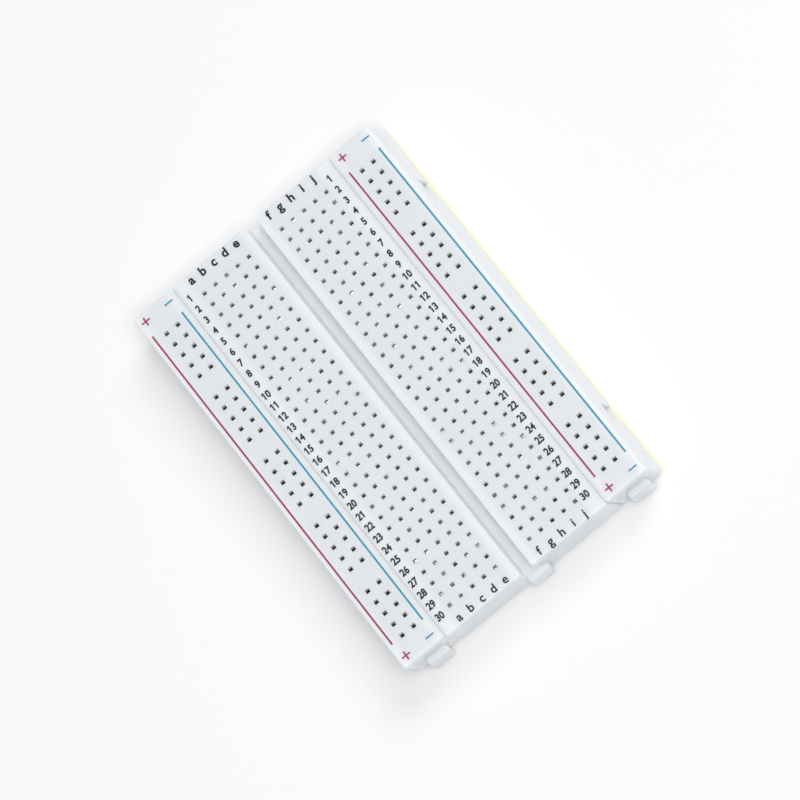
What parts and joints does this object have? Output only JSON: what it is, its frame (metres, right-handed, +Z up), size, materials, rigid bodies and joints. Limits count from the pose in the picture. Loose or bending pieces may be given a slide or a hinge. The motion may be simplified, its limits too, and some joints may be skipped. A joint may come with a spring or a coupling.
{
  "type": "solderless breadboard",
  "caption": "Flat white prototyping board: a terminal block with a centre groove between two bus strips, spring clips under square contact holes, foam backing and release liner.",
  "frame": {"origin": "under the centre of the contact grid, on the underside of the release liner", "axes": "+X along the numbered rows from row 1 to row 30, +Y across them from column a to column j, +Z up out of the contact holes"},
  "size_m": [0.0831, 0.0566, 0.0097],
  "materials": {
    "housing": "satin moulded",
    "terminal_clip": "nickel plated spring strip",
    "bus_clip": "bare spring bronze",
    "foam": "matt closed-cell foam",
    "liner": "satin coated paper",
    "ink_black": "printed ink",
    "ink_red": "printed ink",
    "ink_blue": "printed ink"
  },
  "bodies": {
    "release_liner": {"release_liner": "liner"},
    "bus_strip_j_side": {"bus_strip_j_side": "housing", "foam_pad_j_side": "foam", "bus_clip_j_side_plus": "bus_clip", "bus_clip_j_side_minus": "bus_clip"},
    "terminal_block": {"terminal_block": "housing", "foam_pad_terminal_block": "foam", "terminal_clip_ae_01": "terminal_clip", "terminal_clip_ae_02": "terminal_clip", "terminal_clip_ae_03": "terminal_clip", "terminal_clip_ae_04": "terminal_clip", "terminal_clip_ae_05": "terminal_clip", "terminal_clip_ae_06": "terminal_clip", "terminal_clip_ae_07": "terminal_clip", "terminal_clip_ae_08": "terminal_clip", "terminal_clip_ae_09": "terminal_clip", "terminal_clip_ae_10": "terminal_clip", "terminal_clip_ae_11": "terminal_clip", "terminal_clip_ae_12": "terminal_clip", "terminal_clip_ae_13": "terminal_clip", "terminal_clip_ae_14": "terminal_clip", "terminal_clip_ae_15": "terminal_clip", "terminal_clip_ae_16": "terminal_clip", "terminal_clip_ae_17": "terminal_clip", "terminal_clip_ae_18": "terminal_clip", "terminal_clip_ae_19": "terminal_clip", "terminal_clip_ae_20": "terminal_clip", "terminal_clip_ae_21": "terminal_clip", "terminal_clip_ae_22": "terminal_clip", "terminal_clip_ae_23": "terminal_clip", "terminal_clip_ae_24": "terminal_clip", "terminal_clip_ae_25": "terminal_clip", "terminal_clip_ae_26": "terminal_clip", "terminal_clip_ae_27": "terminal_clip", "terminal_clip_ae_28": "terminal_clip", "terminal_clip_ae_29": "terminal_clip", "terminal_clip_ae_30": "terminal_clip"},
    "bus_strip_a_side": {"bus_strip_a_side": "housing", "foam_pad_a_side": "foam", "bus_clip_a_side_plus": "bus_clip", "bus_clip_a_side_minus": "bus_clip"}
  },
  "joints": [
    {"name": "liner_release", "type": "slide", "parent": "release_liner", "child": "bus_strip_j_side", "axis": [0, 0, 1], "range_m": [0, 0.01]},
    {"name": "terminal_block_lift", "type": "slide", "parent": "bus_strip_j_side", "child": "terminal_block", "axis": [0, -0.2045, 0.9789], "range_m": [0, 0.01]},
    {"name": "bus_strip_a_side_lift", "type": "slide", "parent": "terminal_block", "child": "bus_strip_a_side", "axis": [0, -0.2045, 0.9789], "range_m": [0, 0.01]}
  ]
}
